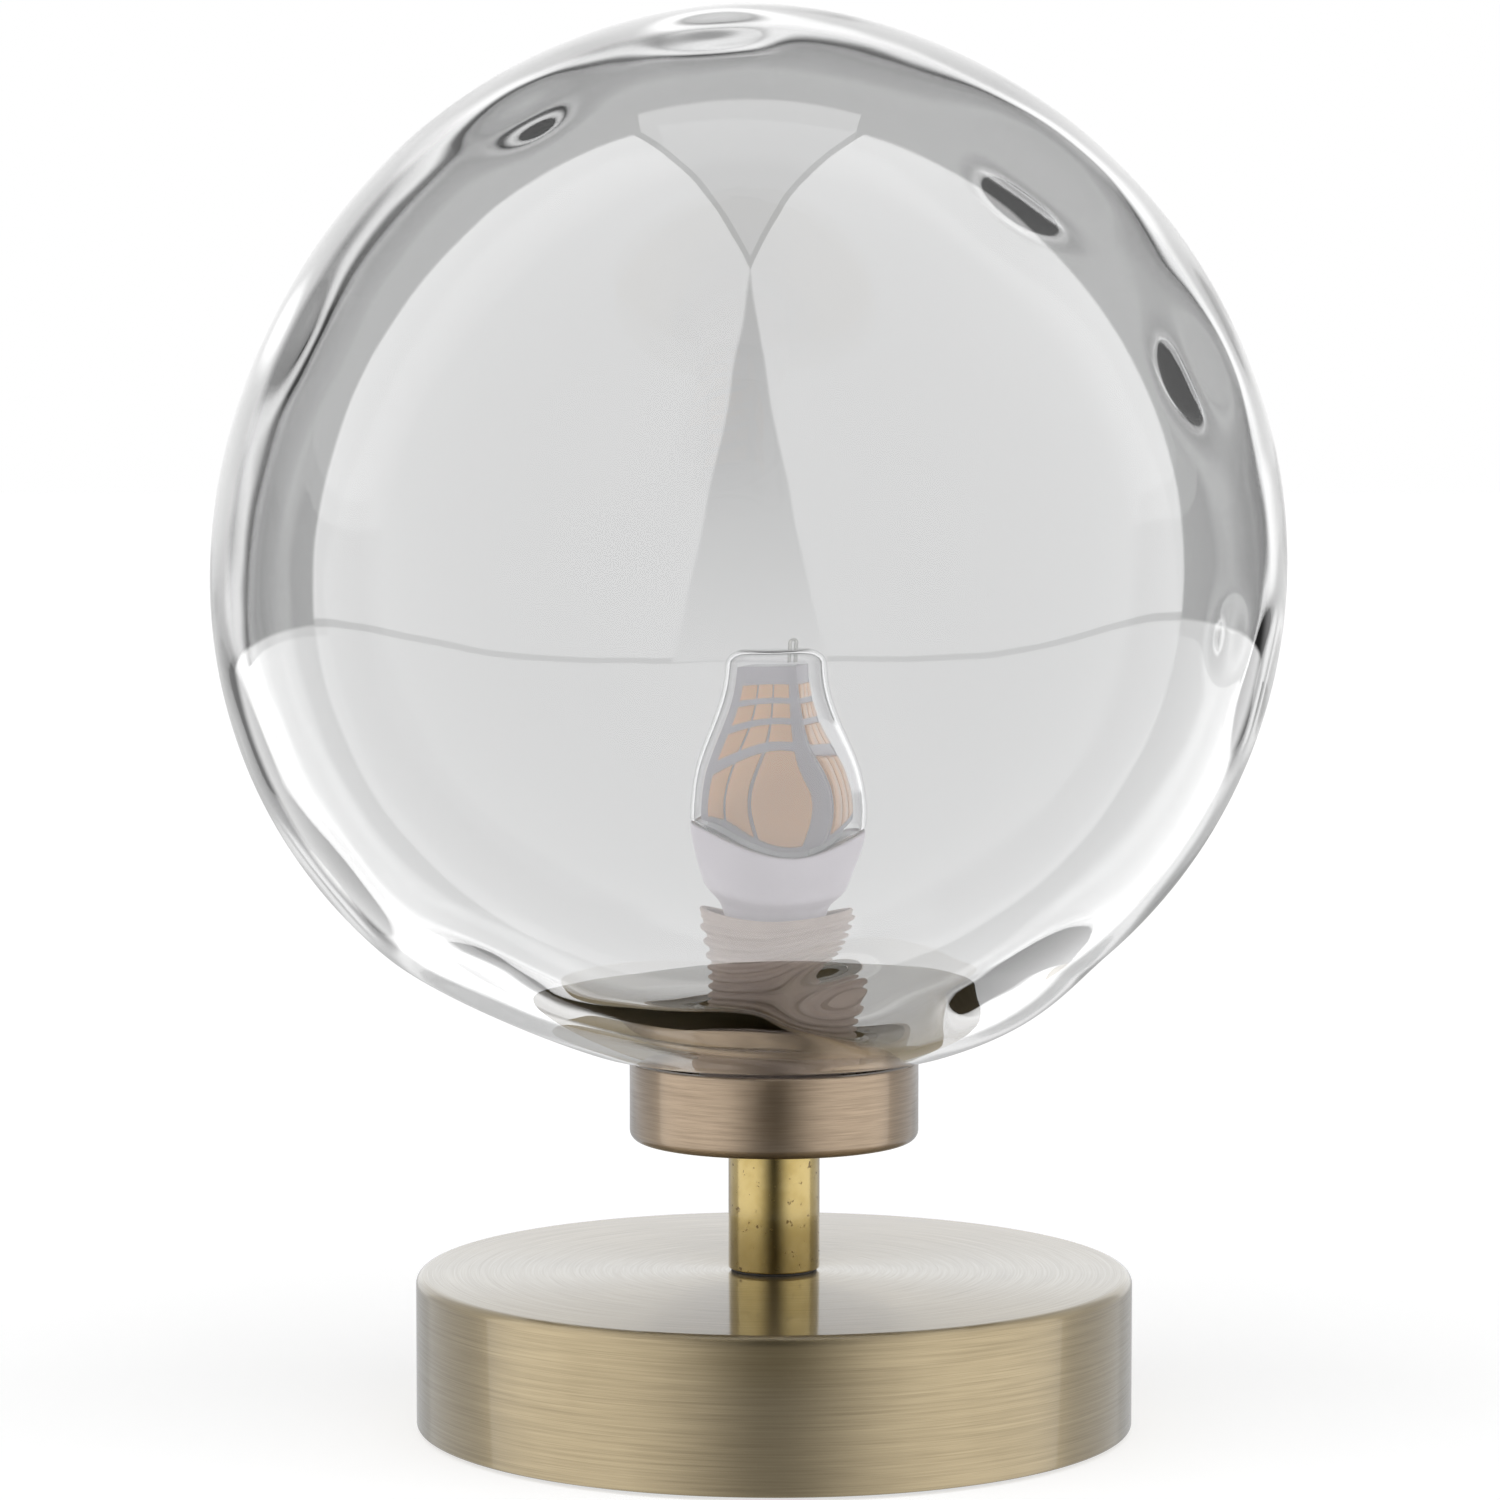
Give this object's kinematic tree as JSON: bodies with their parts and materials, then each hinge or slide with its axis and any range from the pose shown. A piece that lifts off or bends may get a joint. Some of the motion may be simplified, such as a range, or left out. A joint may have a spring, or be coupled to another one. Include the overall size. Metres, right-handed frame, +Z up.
{
  "type": "table lamp",
  "caption": "Small table lamp: clear dimpled glass globe on a brushed brass cup, short stem and round weighted base, with a pin-base LED bulb inside the globe.",
  "frame": {"origin": "centre of the felt pad's underside, which rests on the table", "axes": "+Z up the lamp's axis, +Y to the rear, where the cord enters, +X to the right from the front"},
  "size_m": [0.15, 0.15, 0.2],
  "materials": {
    "brushed_brass": "antique brass, brushed round the axis, clear lacquer",
    "stem_brass": "antique brass, finely turned, clear lacquer",
    "dark_gasket": "dark fibre ring",
    "felt": "black felt",
    "plate_steel": "zinc-plated sheet steel",
    "zinc_steel": "bright zinc plate",
    "cast_iron": "raw casting",
    "black_rubber": "moulded rubber",
    "white_nylon": "moulded nylon",
    "holder_beige": "moulded heat-resistant plastic, threaded",
    "ceramic": "glazed steatite, stored as plastic",
    "contact_bronze": "spring bronze",
    "clear_glass": "clear mould-blown glass with a dimpled inner surface",
    "clear_silicone": "translucent silicone",
    "bulb_ceramic": "pale satin plastic",
    "bulb_clear": "clear polycarbonate",
    "aluminium": "raw extrusion",
    "led_board": "pale circuit board with orange LED chips",
    "driver_board": "green circuit board",
    "brown_lead": "insulated lead",
    "blue_lead": "insulated lead",
    "green_lead": "insulated lead"
  },
  "bodies": {
    "stand": {"ballast": "cast_iron", "base_cover": "plate_steel", "base_lock_washer": "zinc_steel", "base_nut": "zinc_steel", "base_shell": "brushed_brass", "base_washer": "zinc_steel", "block_screw": "zinc_steel", "cable_grommet": "black_rubber", "clamp_screw_1": "zinc_steel", "clamp_screw_2": "zinc_steel", "cord_clamp": "plate_steel", "cover_screw_1": "zinc_steel", "cover_screw_2": "zinc_steel", "cover_screw_3": "zinc_steel", "cup_lock_washer": "zinc_steel", "cup_nut": "zinc_steel", "earth_lead": "green_lead", "earth_screw": "zinc_steel", "earth_tag": "zinc_steel", "felt_pad": "felt", "gallery_cup": "brushed_brass", "holder_contact_1": "contact_bronze", "holder_contact_2": "contact_bronze", "holder_insert": "ceramic", "holder_nut": "zinc_steel", "holder_sleeve": "holder_beige", "insert_ring": "zinc_steel", "lead_live": "brown_lead", "lead_neutral": "blue_lead", "stem_foot_ring": "dark_gasket", "stem_tube": "stem_brass", "terminal_block": "white_nylon", "terminal_screw_1": "zinc_steel", "terminal_screw_2": "zinc_steel", "terminal_screw_3": "zinc_steel", "threaded_rod": "zinc_steel"},
    "seal_ring": {"globe_seal": "clear_silicone"},
    "globe": {"globe": "clear_glass"},
    "bulb": {"bulb_base": "bulb_ceramic", "bulb_cover": "bulb_clear", "bulb_driver": "driver_board", "bulb_lead_loop": "zinc_steel", "bulb_pin_1": "zinc_steel", "bulb_pin_2": "zinc_steel", "led_core": "aluminium", "led_panel_1": "led_board", "led_panel_2": "led_board", "led_panel_3": "led_board", "led_panel_4": "led_board"}
  },
  "joints": [
    {"name": "globe_rise", "type": "slide", "parent": "stand", "child": "seal_ring", "axis": [0, 0, 1], "range_m": [0, 0.00625]},
    {"name": "globe_turn", "type": "hinge", "parent": "seal_ring", "child": "globe", "pos_m": [0, 0, 0.046], "axis": [0, 0, 1], "range_deg": [0, 900]},
    {"name": "bulb_pull", "type": "slide", "parent": "stand", "child": "bulb", "axis": [0, 0, 1], "range_m": [0, 0.012]}
  ],
  "couplings": [
    {"joint": "globe_rise", "follows": "globe_turn", "m_per_rad": 0.00039789}
  ]
}
